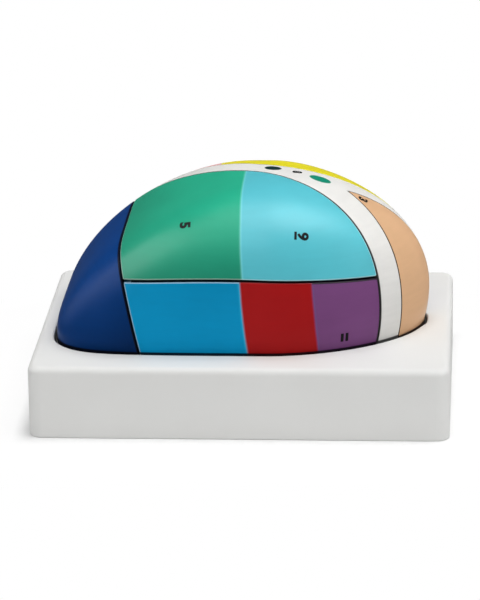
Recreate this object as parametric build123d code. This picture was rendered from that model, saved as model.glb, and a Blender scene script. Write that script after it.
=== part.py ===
"""Brain anatomy model: a schematic half dome of lift-out blocks that stands in the pocket of a moulded tray.

The origin is the middle of the tray's underside. +X runs from the rear of the dome to its front, -Y is the near
side and +Z is up. All sizes are in millimetres.
"""

import math
import os

from build123d import *

# Dome: an egg-like shell, measured from its crown
rear_reach = 98.0
front_reach = 73.2
half_width = 55.0
dome_height = 70.4  # above the tray's top face
rear_belly = 3.4  # heights above the tray's top face at which each side stands out furthest
front_belly = 16.4
side_belly = 15.9
rear_fullness = 1.68  # exponents of the upright profiles: 2 is an ellipse and more is squarer
front_fullness = 2.03
side_fullness = 2.9
rear_bluntness = 5.4  # exponents of the outline seen from above
front_bluntness = 1.82
front_tuck = 66.0  # depth in which the profile would close under the belly
side_tuck = 60.0
rear_tuck = 200.0

# Tray
rear_margin = 8.5  # from the dome's furthest points to the tray's sides
front_margin = 10.3
near_margin = 18.0
far_margin = 14.0
tray_height = 33.6
tray_corner_radius = 6.0
tray_edge_radius = 3.0
tray_foot_radius = 0.6
tray_wall = 3.5
pocket_depth = 8.0
pocket_gap = 1.4  # between the blocks' feet and the pocket's wall
pocket_lip_radius = 0.8
rib_thickness = 2.5
rib_clearance = 1.0  # from the ribs' lower edges to the surface that the tray stands on
cross_rib_spacing = 62.0

# Joints between the blocks, placed from the crown
block_gap = 0.3
seam_gap = 0.6  # between the upper and lower blocks
rear_cut = -57.5  # at the tray's top face
rear_cut_lean = 11.3  # degrees, the joint's top leaning to the rear
near_cut_foot = (52.7, -36.2)
near_cut_angle = -33.4  # degrees from +X
stem_width = 9.5  # of the core behind the crown
front_tip = (35.2, -6.0)
front_near_angle = -39.6
front_far_angle = 18.0
far_cut_middle = (33.5, 7.0)
far_cut_front = (74.5, 15.0)
far_cut_corner = -6.0
seam_crest = -21.5
seam_crest_height = 35.0  # above the tray's top face
seam_radius = 640.0

# Dowels that keep the upper blocks on the lower ones
dowel_diameter = 6.0
dowel_depth = 8.0  # in each block
dowel_edge = 0.6
glued_clearance = 0.05
lift_clearance = 0.2
dowel_end_clearance = 1.0
near_dowels = [(-37.0, -22.0), (14.0, -36.0)]
far_dowels = [(-20.0, 38.0), (30.0, 30.0)]

tray_length = rear_margin + rear_reach + front_reach + front_margin
tray_depth = near_margin + 2 * half_width + far_margin
crown_x = -tray_length / 2 + rear_margin + rear_reach
crown_y = -tray_depth / 2 + near_margin + half_width
crown_z = tray_height + dome_height
floor_z = tray_height - pocket_depth
beyond = 2 * max(tray_length, tray_depth)  # reaches past everything


def reach(full, height, belly, fullness, tuck):
    """How far the dome reaches to one side at a height above the tray's top face."""
    if height >= belly:
        share = min((height - belly) / (dome_height - belly), 1)
        return full * (1 - share**fullness) ** (1 / fullness)
    return full * math.sqrt(1 - ((belly - height) / tuck) ** 2)


def outline_points(z, grow=0.0, steps=8):
    """Points round the dome's outline at a level; in the pocket it keeps the outline of the tray's top face."""
    height = max(z - tray_height, 0)
    rear = reach(rear_reach, height, rear_belly, rear_fullness, rear_tuck) + grow
    front = reach(front_reach, height, front_belly, front_fullness, front_tuck) + grow
    side = reach(half_width, height, side_belly, side_fullness, side_tuck) + grow
    points = []
    for step in range(4 * steps):
        angle = math.pi / 2 * step / steps
        ahead, across = math.cos(angle), math.sin(angle)
        length, bluntness = (rear, rear_bluntness) if ahead < -0.001 else (front, front_bluntness)
        spread = (abs(ahead) ** bluntness + abs(across) ** bluntness) ** (1 / bluntness)
        points.append(Vector(crown_x + length * ahead / spread, crown_y + side * across / spread, z))
    return points


def outline(z):
    """The dome's outline at a level, as a face."""
    return Face(Wire([Edge.make_spline(outline_points(z), periodic=True)]))


def pocket_outline(grow, steps=8):
    """The pocket's outline, as a face of four quarters that run into each other smoothly."""
    points = outline_points(tray_height, grow, steps)
    ring = points + points[:1]
    ways = [Vector(0, 1, 0), Vector(-1, 0, 0), Vector(0, -1, 0), Vector(1, 0, 0)]
    quarters = []
    for number in range(4):
        through = ring[number * steps : (number + 1) * steps + 1]
        ends = [ways[number], ways[(number + 1) % 4]]
        quarters.append(Edge.make_spline(through, tangents=ends))
    return Face(Wire(quarters))


def prism(face, bottom, top):
    """A flat face at any level, as an upright prism between two levels."""
    at_bottom = Pos(0, 0, bottom - face.center().Z) * face
    return extrude(at_bottom, top - bottom)


def whole_dome():
    """The dome before it is divided, from the pocket's floor to a crown that is flat over a few millimetres."""
    climbs = (12, 24, 36, 48, 60, 72, 82, 88)
    levels = [floor_z, tray_height] + [tray_height + dome_height * math.sin(math.radians(a)) for a in climbs]
    return loft([outline(z) for z in levels])


def from_crown(point):
    """A place given from the crown, in the tray's frame."""
    return (crown_x + point[0], crown_y + point[1])


def along(point, degrees, distance):
    """The point that lies a distance away in a direction, seen from above."""
    turn = math.radians(degrees)
    return (point[0] + distance * math.cos(turn), point[1] + distance * math.sin(turn))


def core_plan(grow=0.0):
    """The core seen from above: a slanting stem that parts into two arms round the front block's tip."""
    foot = along(from_crown(near_cut_foot), near_cut_angle - 90, grow)
    near_front = along(foot, near_cut_angle, beyond)
    near_rear = along(foot, near_cut_angle, -beyond)
    far_rear = along(near_rear, near_cut_angle + 90, stem_width + 2 * grow)
    far_foot = along(foot, near_cut_angle + 90, stem_width + 2 * grow)
    corner_x = crown_x + far_cut_corner
    to_corner = (corner_x - far_foot[0]) / math.cos(math.radians(near_cut_angle))
    corner = along(far_foot, near_cut_angle, to_corner)
    middle = along(from_crown(far_cut_middle), 90, grow)
    front = along(from_crown(far_cut_front), 90, grow)
    half_opening = math.radians(front_far_angle - front_near_angle) / 2
    tip_angle = (front_far_angle + front_near_angle) / 2
    tip = along(from_crown(front_tip), tip_angle, grow / math.sin(half_opening))
    far_tip = along(tip, front_far_angle, beyond)
    near_tip = along(tip, front_near_angle, beyond)
    front_beyond = (far_tip[0], front[1] + far_tip[1] - tip[1])
    edges = [
        Line(near_front, near_rear),
        Line(near_rear, far_rear),
        Line(far_rear, corner),
        ThreePointArc(corner, middle, front),
        Line(front, front_beyond),
        Line(front_beyond, far_tip),
        Line(far_tip, tip),
        Line(tip, near_tip),
        Line(near_tip, near_front),
    ]
    return make_face(edges)


def rear_space(shift):
    """Everything behind the leaning joint of the rear block, its joint moved forward by shift."""
    joint = Pos(crown_x + rear_cut + shift, 0, tray_height) * Rot(0, -rear_cut_lean, 0)
    return joint * Pos(-beyond / 2, 0, 0) * Box(beyond, beyond, 2 * beyond)


def seam_space(grow):
    """Everything under the gently arched seam between the lower and the upper blocks."""
    radius = seam_radius + grow
    centre = Pos(crown_x + seam_crest, 0, tray_height + seam_crest_height - seam_radius)
    return centre * Rot(90, 0, 0) * Cylinder(radius, beyond)


def seam_level(x):
    """The seam's height at a place along the dome."""
    offset = x - crown_x - seam_crest
    drop = seam_radius - math.sqrt(seam_radius**2 - offset**2)
    return tray_height + seam_crest_height - drop


def dowel(place):
    """One dowel with broken edges, standing on the bottom of its hole in the lower block."""
    x, y = from_crown(place)
    body = Cylinder(dowel_diameter / 2, 2 * dowel_depth, align=(Align.CENTER, Align.CENTER, Align.MIN))
    body = chamfer(body.edges().filter_by(GeomType.CIRCLE), dowel_edge)
    return Pos(x, y, seam_level(x) - dowel_depth) * body


def dowel_hole(place, clearance, bottom, top):
    """The space for a dowel between two distances from the seam."""
    x, y = from_crown(place)
    radius = dowel_diameter / 2 + clearance
    hole = Cylinder(radius, top - bottom, align=(Align.CENTER, Align.CENTER, Align.MIN))
    return Pos(x, y, seam_level(x) + bottom) * hole


def divide(block, dowels):
    """A block's lower and upper halves, with the dowels' holes in both."""
    lower = block & seam_space(0)
    upper = block - seam_space(seam_gap)
    for place in dowels:
        lower -= dowel_hole(place, glued_clearance, -dowel_depth, dowel_depth)
        upper -= dowel_hole(place, lift_clearance, -dowel_depth, dowel_depth + dowel_end_clearance)
    return lower, upper


def tray():
    """The tray: a shell open underneath, its pocket a bowl that hangs from the top face, with ribs under it."""
    outer = extrude(RectangleRounded(tray_length, tray_depth, tray_corner_radius), tray_height)
    outer = fillet(outer.edges().group_by(Axis.Z)[-1], tray_edge_radius)
    outer = fillet(outer.edges().group_by(Axis.Z)[0], tray_foot_radius)
    inner_length, inner_depth = tray_length - 2 * tray_wall, tray_depth - 2 * tray_wall
    inner_radius = tray_corner_radius - tray_wall
    hollow = extrude(RectangleRounded(inner_length, inner_depth, inner_radius), tray_height - tray_wall)
    hollow -= prism(pocket_outline(pocket_gap + tray_wall), floor_z - tray_wall, tray_height)
    rib_height = tray_height - rib_clearance
    low = (Align.CENTER, Align.CENTER, Align.MIN)
    hollow -= Pos(0, crown_y, rib_clearance) * Box(tray_length, rib_thickness, rib_height, align=low)
    for side in (-1, 1):
        place = Pos(side * cross_rib_spacing / 2, 0, rib_clearance)
        hollow -= place * Box(rib_thickness, tray_depth, rib_height, align=low)
    pocket = prism(pocket_outline(pocket_gap), floor_z, tray_height + tray_edge_radius)
    body = outer - hollow - pocket
    lip = body.edges().group_by(Axis.Z)[-1].filter_by(GeomType.BSPLINE)
    return fillet(lip, pocket_lip_radius)


def blocks():
    """The dome's blocks and dowels by name."""
    dome = whole_dome()
    rear_block = dome & rear_space(0)
    front_part = dome - rear_space(block_gap)
    core = front_part & extrude(core_plan(), 2 * crown_z)
    around = (front_part - extrude(core_plan(block_gap), 2 * crown_z)).solids()
    near_part = around.sort_by(Axis.Y)[0]
    far_part = around.sort_by(Axis.Y)[-1]
    front_block = around.sort_by(Axis.X)[-1]
    near_lower, near_upper = divide(near_part, near_dowels)
    far_lower, far_upper = divide(far_part, far_dowels)
    return {
        "core": core,
        "rear_block": rear_block,
        "front_block": front_block,
        "near_lower_block": near_lower,
        "near_upper_block": near_upper,
        "far_lower_block": far_lower,
        "far_upper_block": far_upper,
        "near_dowels": Compound(children=[dowel(place) for place in near_dowels]),
        "far_dowels": Compound(children=[dowel(place) for place in far_dowels]),
    }


os.makedirs("parts", exist_ok=True)
for name, shape in {"tray": tray(), **blocks()}.items():
    export_step(shape, f"parts/{name}.step")
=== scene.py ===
"""Looks of the brain anatomy model: painted blocks of a half dome, in the pocket of a white tray.

The frame is the CAD's. Sizes are in millimetres up to the end of each mesh's making, which turns it
into metres. The studio's sizes are in metres.
"""

import logging
import math
from abc import ABC, abstractmethod
from collections.abc import Sequence
from dataclasses import dataclass, field
from enum import Enum
from itertools import combinations
from typing import Protocol

import bmesh
import bpy
import numpy as np
from mathutils import Matrix, Vector
from mathutils.bvhtree import BVHTree
from mathutils.interpolate import poly_3d_calc


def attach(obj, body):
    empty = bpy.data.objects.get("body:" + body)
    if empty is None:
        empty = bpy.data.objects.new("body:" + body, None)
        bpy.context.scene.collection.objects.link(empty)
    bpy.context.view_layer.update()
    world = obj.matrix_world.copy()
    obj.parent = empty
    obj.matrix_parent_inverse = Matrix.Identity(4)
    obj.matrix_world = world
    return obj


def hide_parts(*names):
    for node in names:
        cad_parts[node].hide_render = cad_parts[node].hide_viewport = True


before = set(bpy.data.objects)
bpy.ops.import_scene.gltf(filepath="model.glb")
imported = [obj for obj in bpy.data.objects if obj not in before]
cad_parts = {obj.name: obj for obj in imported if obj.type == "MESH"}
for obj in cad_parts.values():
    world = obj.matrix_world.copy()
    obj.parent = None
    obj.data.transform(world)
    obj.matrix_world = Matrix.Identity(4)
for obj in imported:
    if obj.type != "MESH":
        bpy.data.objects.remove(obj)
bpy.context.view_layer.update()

MM = 0.001
BODY = "root"
NUMBER = "NodeSocketFloat"
COLOUR = "NodeSocketColor"
VECTOR = "NodeSocketVector"
WHITE = (1.0, 1.0, 1.0, 1.0)
FLANKS = ("Rear", "Front", "Side")
FLANK_WORDS = ("Reach", "Belly", "Fullness", "Tuck")
Colour = tuple[float, float, float]
Point = tuple[float, float]
Place = tuple[float, float, float]
log = logging.getLogger("brain_model")


def from_screen(red: int, green: int, blue: int) -> Colour:
    """Turns a screen's colour into one for a shader.

    Args:
        red, green, blue: the colour as a screen shows it, from 0 to 255.

    Returns:
        The same colour in linear light.
    """

    def linear(value: int) -> float:
        """One channel in linear light."""
        share = value / 255
        return share / 12.92 if share <= 0.04045 else ((share + 0.055) / 1.055) ** 2.4

    return linear(red), linear(green), linear(blue)


def opaque(colour: Colour, share: float = 1.0) -> tuple[float, float, float, float]:
    """A share of a colour, as a shader's input takes it."""
    return (*(share * channel for channel in colour), 1.0)


class TreeMaker:
    """Adds nodes to a node tree and joins them.

    A group's maker also has the group's ends: what it is given, and what is wanted from it.
    """

    given: bpy.types.NodeOutputs
    wanted: bpy.types.NodeInputs

    def __init__(self, tree: bpy.types.NodeTree) -> None:
        """Takes the tree to add to."""
        self.tree = tree

    def node(self, kind: str, inputs: dict | None = None, **settings: object) -> bpy.types.Node:
        """Adds a node.

        Args:
            kind: Blender's name of the node's type.
            inputs: a value or a socket for each input, by name or number.
            settings: the node's own settings.

        Returns:
            The node.
        """
        made = self.tree.nodes.new(kind)
        for name, value in settings.items():
            setattr(made, name, value)
        for name, value in (inputs or {}).items():
            self.feed(made.inputs[name], value)
        return made

    def feed(self, socket: bpy.types.NodeSocket, value: object) -> None:
        """Gives an input a value, or joins a socket to it.

        Args:
            socket: the input.
            value: the value or the socket.
        """
        if isinstance(value, bpy.types.NodeSocket):
            self.tree.links.new(value, socket)
        else:
            socket.default_value = value

    def maths(self, operation: str, *values: object, clamp: bool = False) -> bpy.types.NodeSocket:
        """The result of one operation on numbers, kept between 0 and 1 if it is clamped."""
        inputs = dict(enumerate(values))
        return self.node("ShaderNodeMath", inputs, operation=operation, use_clamp=clamp).outputs[0]

    def mixed(self, share: object, first: object, second: object) -> bpy.types.NodeSocket:
        """The colour between two colours at a share."""
        inputs = {0: share, 6: first, 7: second}
        return self.node("ShaderNodeMix", inputs, data_type="RGBA").outputs[2]

    def between(self, share: object, first: object, second: object) -> bpy.types.NodeSocket:
        """The number between two numbers at a share."""
        inputs = {0: share, 2: first, 3: second}
        return self.node("ShaderNodeMix", inputs, data_type="FLOAT").outputs[0]

    def ramp(
        self, value: object, over: Point, ends: Point = (0.0, 1.0), soft: bool = False
    ) -> bpy.types.NodeSocket:
        """Turns a stretch of numbers into another.

        Args:
            value: the number or its socket.
            over: the ends of the stretch it is read over.
            ends: what comes out at those ends and past them.
            soft: whether the change begins and ends slowly.

        Returns:
            The result's socket.
        """
        inputs = dict(enumerate((value, *over, *ends)))
        way = "SMOOTHSTEP" if soft else "LINEAR"
        return self.node("ShaderNodeMapRange", inputs, interpolation_type=way).outputs[0]

    def noise(self, place: object, scale: object, detail: float) -> bpy.types.NodeSocket:
        """Smooth noise from 0 to 1 at a place."""
        inputs = {"Vector": place, "Scale": scale, "Detail": detail}
        return self.node("ShaderNodeTexNoise", inputs).outputs["Fac"]

    def vectors(self, operation: str, *values: object) -> bpy.types.NodeOutputs:
        """The results of one operation on vectors, as the outputs of its node."""
        inputs = dict(enumerate(values))
        return self.node("ShaderNodeVectorMath", inputs, operation=operation).outputs

    def valued(self, colour: object, value: object) -> bpy.types.NodeSocket:
        """A colour at a share of its brightness."""
        return self.node("ShaderNodeHueSaturation", {"Color": colour, "Value": value}).outputs[0]

    def seen(self) -> tuple[bpy.types.NodeOutputs, bpy.types.NodeSocket]:
        """The kinds of rays, and whether the camera sees the place, straight or through glass."""
        kinds = self.node("ShaderNodeLightPath").outputs
        return kinds, self.maths("MAXIMUM", kinds["Is Camera Ray"], kinds["Is Transmission Ray"])


class MaterialMaker(TreeMaker):
    """Builds a material, which reads places on the object in metres."""

    def __init__(self, name: str) -> None:
        """Starts an empty material.

        Args:
            name: the material's name.
        """
        self.made = bpy.data.materials.new(name)
        self.made.use_nodes = True
        self.made.node_tree.nodes.clear()
        super().__init__(self.made.node_tree)
        self.place = self.node("ShaderNodeTexCoord").outputs["Object"]

    def effect(self, tree: bpy.types.NodeTree, **inputs: object) -> bpy.types.NodeOutputs:
        """Places a shared shader group.

        Args:
            tree: the group.
            inputs: its inputs' values or sockets, by their names with _ for a space.

        Returns:
            The group's outputs.
        """
        values = {"Position": self.place}
        values |= {name.replace("_", " "): value for name, value in inputs.items()}
        return self.node("ShaderNodeGroup", values, node_tree=tree).outputs

    def bump(self, height: bpy.types.NodeSocket) -> bpy.types.NodeSocket:
        """The surface's direction for a height in millimetres."""
        inputs = {"Height": height, "Strength": 1.0, "Distance": MM}
        return self.node("ShaderNodeBump", inputs).outputs[0]

    def closed(self, shader: bpy.types.Node) -> bpy.types.Material:
        """The material, ended in a shader."""
        self.node("ShaderNodeOutputMaterial", {"Surface": shader.outputs[0]})
        return self.made

    def surface(self, inputs: dict) -> bpy.types.Material:
        """The material, ended in a surface with the given inputs."""
        return self.closed(self.node("ShaderNodeBsdfPrincipled", inputs))


def new_group(kind: str, name: str, inputs: dict[str, tuple], outputs: dict[str, str]) -> TreeMaker:
    """Starts a node group.

    Args:
        kind: Blender's name of the tree's type.
        name: the group's name.
        inputs: each input's socket type and default value, by name.
        outputs: each output's socket type, by name.

    Returns:
        A maker for the group, with its ends as the attributes given and wanted.
    """
    tree = bpy.data.node_groups.new(name, kind)
    for title, (socket_type, value) in inputs.items():
        socket = tree.interface.new_socket(name=title, in_out="INPUT", socket_type=socket_type)
        if value is not None:
            socket.default_value = value
    for title, socket_type in outputs.items():
        tree.interface.new_socket(name=title, in_out="OUTPUT", socket_type=socket_type)
    maker = TreeMaker(tree)
    maker.given = maker.node("NodeGroupInput").outputs
    maker.wanted = maker.node("NodeGroupOutput").inputs
    return maker


def new_object(name: str, data: bpy.types.ID | None) -> bpy.types.Object:
    """Adds an object to the scene.

    Args:
        name: the object's name.
        data: its mesh, text, lamp or camera.

    Returns:
        The object.
    """
    made = bpy.data.objects.new(name, data)
    bpy.context.scene.collection.objects.link(made)
    return made


def settled(item: bpy.types.Object, name: str) -> bpy.types.Object:
    """Turns an object into its evaluated mesh, as a plain object.

    Args:
        item: the object, with its modifiers.
        name: the plain object's name.

    Returns:
        The plain object.
    """
    bpy.context.view_layer.update()
    ready = item.evaluated_get(bpy.context.evaluated_depsgraph_get())
    mesh = bpy.data.meshes.new_from_object(ready)
    bpy.data.objects.remove(item)
    mesh.name = name
    return new_object(name, mesh)


# The dome


@dataclass(frozen=True)
class Flank:
    """How the dome stands out to one side of its crown.

    The reach is its distance at the belly's height. Above that it narrows, later the fuller it is.
    Below, it tucks in like an ellipse whose half height is the tuck.
    """

    reach: float
    belly: float
    fullness: float
    tuck: float

    def inputs(self, side: str) -> dict[str, float]:
        """The sizes by the names of the shell tree's inputs."""
        return {f"{side} {word}": getattr(self, word.lower()) for word in FLANK_WORDS}


# How far behind the crown, in a tube of radius 1, a place still counts as before it
MIDLINE = 0.0005


@dataclass(frozen=True)
class Dome:
    """The egg-like shell that the blocks divide between them.

    Seen from the side, each of its columns climbs to the top like a quarter turn, up to the highest
    climb in degrees, where a small flat top closes it.
    """

    crown: Point = (11.5, 2.0)
    rim: float = 33.6
    height: float = 70.4
    floor: float = 25.6
    rear: Flank = Flank(98.0, 3.4, 1.68, 200.0)
    front: Flank = Flank(73.2, 16.4, 2.03, 66.0)
    side: Flank = Flank(55.0, 15.9, 2.9, 60.0)
    rear_bluntness: float = 5.4
    front_bluntness: float = 1.82
    highest_climb: float = 88.0
    columns: int = 260
    rows: int = 70

    @staticmethod
    def reach_group() -> bpy.types.NodeTree:
        """Builds the group that says how far the dome reaches at a height above the rim.

        Returns:
            The group.
        """
        inputs = {name: (NUMBER, 1.0) for name in ("Height", "Top", *FLANK_WORDS)}
        g = new_group("GeometryNodeTree", "reach", inputs, {"Reach": NUMBER})
        given = g.given
        rise = g.maths("SUBTRACT", given["Height"], given["Belly"])
        span = g.maths("SUBTRACT", given["Top"], given["Belly"])
        share = g.maths("DIVIDE", g.maths("MAXIMUM", rise, 0.0), span, clamp=True)
        left = g.maths("SUBTRACT", 1.0, g.maths("POWER", share, given["Fullness"]))
        narrowing = g.maths("POWER", left, g.maths("DIVIDE", 1.0, given["Fullness"]))
        below = g.maths("DIVIDE", g.maths("MINIMUM", rise, 0.0), given["Tuck"])
        tucking = g.maths("SQRT", g.maths("SUBTRACT", 1.0, g.maths("MULTIPLY", below, below)))
        both = g.maths("MULTIPLY", narrowing, tucking)
        g.feed(g.wanted["Reach"], g.maths("MULTIPLY", both, given["Reach"]))
        return g.tree

    def shell_tree(self) -> bpy.types.NodeTree:
        """Builds the tree that bends a closed tube into the dome.

        Returns:
            The tree.
        """
        names = ["Crown X", "Crown Y", "Rim", "Height", "Lowest Climb", "Highest Climb"]
        names += ["Rear Bluntness", "Front Bluntness"]
        names += [f"{side} {word}" for side in FLANKS for word in FLANK_WORDS]
        inputs = {"Columns": ("NodeSocketInt", 64), "Rows": ("NodeSocketInt", 16)}
        inputs |= {name: (NUMBER, 1.0) for name in names}
        inputs["Finish"] = ("NodeSocketMaterial", None)
        g = new_group("GeometryNodeTree", "dome_shell", inputs, {"Geometry": "NodeSocketGeometry"})
        given = g.given
        parts = {"Vertices": given["Columns"], "Side Segments": given["Rows"]}
        sizes = {"Radius": 1.0, "Depth": 1.0}
        tube = g.node("GeometryNodeMeshCylinder", parts | sizes, fill_type="NGON")
        position = g.node("GeometryNodeInputPosition").outputs[0]
        place = g.node("ShaderNodeSeparateXYZ", {0: position}).outputs
        ahead, across = place["X"], place["Y"]
        climbed = g.maths("ADD", place["Z"], 0.5)
        whole = g.maths("SUBTRACT", given["Highest Climb"], given["Lowest Climb"])
        climb = g.maths("MULTIPLY_ADD", climbed, whole, given["Lowest Climb"])
        height = g.maths("MULTIPLY", g.maths("SINE", climb), given["Height"])
        above = g.maths("MAXIMUM", height, 0.0)
        group = self.reach_group()
        reaches = {}
        for side in FLANKS:
            values = {"Height": above, "Top": given["Height"]}
            values |= {word: given[f"{side} {word}"] for word in FLANK_WORDS}
            reaches[side] = g.node("GeometryNodeGroup", values, node_tree=group).outputs[0]
        behind = g.maths("LESS_THAN", ahead, -MIDLINE)

        def by_end(rear: object, front: object) -> bpy.types.NodeSocket:
            """The rear's value behind the crown and the front's before it."""
            return g.maths("MULTIPLY_ADD", g.maths("SUBTRACT", rear, front), behind, front)

        length = by_end(reaches["Rear"], reaches["Front"])
        bluntness = by_end(given["Rear Bluntness"], given["Front Bluntness"])
        powers = [g.maths("POWER", g.maths("ABSOLUTE", way), bluntness) for way in (ahead, across)]
        spread = g.maths("POWER", g.maths("ADD", *powers), g.maths("DIVIDE", 1.0, bluntness))
        x = g.maths("MULTIPLY_ADD", g.maths("DIVIDE", ahead, spread), length, given["Crown X"])
        share = g.maths("DIVIDE", across, spread)
        y = g.maths("MULTIPLY_ADD", share, reaches["Side"], given["Crown Y"])
        z = g.maths("ADD", height, given["Rim"])
        there = g.node("ShaderNodeCombineXYZ", {0: x, 1: y, 2: z}).outputs[0]
        bent = g.node("GeometryNodeSetPosition", {0: tube.outputs["Mesh"], "Position": there})
        real = g.node("GeometryNodeRealizeInstances", {0: bent.outputs[0]})
        finish = {0: real.outputs[0], "Material": given["Finish"]}
        done = g.node("GeometryNodeSetMaterial", finish)
        g.feed(g.wanted["Geometry"], done.outputs[0])
        return g.tree

    def shell(self, finish: bpy.types.Material) -> bpy.types.Object:
        """Builds the whole dome as a closed mesh, in millimetres.

        Args:
            finish: the material that it gets.

        Returns:
            The dome.
        """
        base = new_object("dome_base", bpy.data.meshes.new("dome_base"))
        tree = self.shell_tree()
        values: dict[str, object] = {
            "Columns": self.columns,
            "Rows": self.rows,
            "Crown X": self.crown[0],
            "Crown Y": self.crown[1],
            "Rim": self.rim,
            "Height": self.height,
            "Lowest Climb": math.asin((self.floor - self.rim) / self.height),
            "Highest Climb": math.radians(self.highest_climb),
            "Rear Bluntness": self.rear_bluntness,
            "Front Bluntness": self.front_bluntness,
            "Finish": finish,
        }
        values |= self.rear.inputs("Rear") | self.front.inputs("Front") | self.side.inputs("Side")
        modifier = base.modifiers.new("shell", "NODES")
        modifier.node_group = tree
        for item in tree.interface.items_tree:
            if item.item_type == "SOCKET" and item.in_out == "INPUT" and item.name in values:
                modifier[item.identifier] = values[item.name]
        return settled(base, "dome_shell")


class Skin:
    """The dome's outer surface, from which blocks and numerals read distances and directions."""

    def __init__(self, mesh: bpy.types.Mesh) -> None:
        """Reads the surface.

        Args:
            mesh: the whole dome's mesh.
        """
        self.points = [v.co.copy() for v in mesh.vertices]
        self.normals = [v.normal.copy() for v in mesh.vertices]
        self.faces = [tuple(p.vertices) for p in mesh.polygons]
        self.tree = BVHTree.FromPolygons(self.points, self.faces)

    def at(self, point: Vector) -> tuple[float, Vector, Vector]:
        """Looks up the nearest place of the surface.

        Args:
            point: any point near the dome.

        Returns:
            How far the point stands outside the surface, the way out there, and the nearest place.
        """
        place, _, number, _ = self.tree.find_nearest(point)
        ring = self.faces[number]
        shares = poly_3d_calc([self.points[i] for i in ring], place)
        way = sum((self.normals[i] * share for i, share in zip(ring, shares)), Vector())
        way.normalize()
        return (point - place).dot(way), way, place


# The joints


class Joint(Protocol):
    """A face that bounds a block against its neighbour."""

    def depth(self, point: Vector) -> float:
        """How far a point stands outside the block."""

    def way(self, point: Vector) -> Vector:
        """The direction out of the block."""


@dataclass(frozen=True)
class Wall:
    """A flat joint."""

    place: Vector
    outward: Vector

    def depth(self, point: Vector) -> float:
        """How far a point stands outside the block."""
        return (point - self.place).dot(self.outward)

    def way(self, point: Vector) -> Vector:
        """The direction out of the block."""
        return self.outward


@dataclass(frozen=True)
class Arch:
    """A joint that follows a big circle round an axis."""

    centre: Vector
    axis: Vector
    radius: float
    inside: bool

    def spoke(self, point: Vector) -> Vector:
        """The way from the axis to a point."""
        way = point - self.centre
        return way - self.axis * way.dot(self.axis)

    def depth(self, point: Vector) -> float:
        """How far a point stands outside the block."""
        over = self.spoke(point).length - self.radius
        return over if self.inside else -over

    def way(self, point: Vector) -> Vector:
        """The direction out of the block."""
        way = self.spoke(point).normalized()
        return way if self.inside else -way


@dataclass(frozen=True)
class Pair(ABC):
    """Two joints that count as one."""

    first: Joint
    second: Joint

    @abstractmethod
    def part(self, point: Vector) -> Joint:
        """The one of the two that bounds the block at a point."""

    def depth(self, point: Vector) -> float:
        """How far a point stands outside the block."""
        return self.part(point).depth(point)

    def way(self, point: Vector) -> Vector:
        """The direction out of the block."""
        return self.part(point).way(point)


@dataclass(frozen=True)
class Nook(Pair):
    """Two joints that meet in an inner corner of the block."""

    def part(self, point: Vector) -> Joint:
        """The one of the two that bounds the block at a point."""
        return min((self.first, self.second), key=lambda joint: joint.depth(point))


@dataclass(frozen=True)
class Bend(Pair):
    """Two joints that run into each other at a place along the model, the first behind it."""

    place: float

    def part(self, point: Vector) -> Joint:
        """The one of the two that bounds the block at a point."""
        return self.first if point.x < self.place else self.second


def along(point: Point, degrees: float, distance: float) -> Point:
    """The point that lies a distance away in a direction, seen from above."""
    turn = math.radians(degrees)
    return point[0] + distance * math.cos(turn), point[1] + distance * math.sin(turn)


def circle_through(a: Point, b: Point, c: Point) -> tuple[Point, float]:
    """Finds the circle through three points.

    Args:
        a, b, c: the points.

    Returns:
        The circle's centre and radius.
    """
    rows = np.array([[b[0] - a[0], b[1] - a[1]], [c[0] - a[0], c[1] - a[1]]])
    halves = np.array([row @ row / 2 for row in rows])
    x, y = np.linalg.solve(rows, halves)
    return (a[0] + x, a[1] + y), math.hypot(x, y)


class Level(Enum):
    """Where a block lies about the seam."""

    WHOLE = "whole"
    LOWER = "lower"
    UPPER = "upper"


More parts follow.
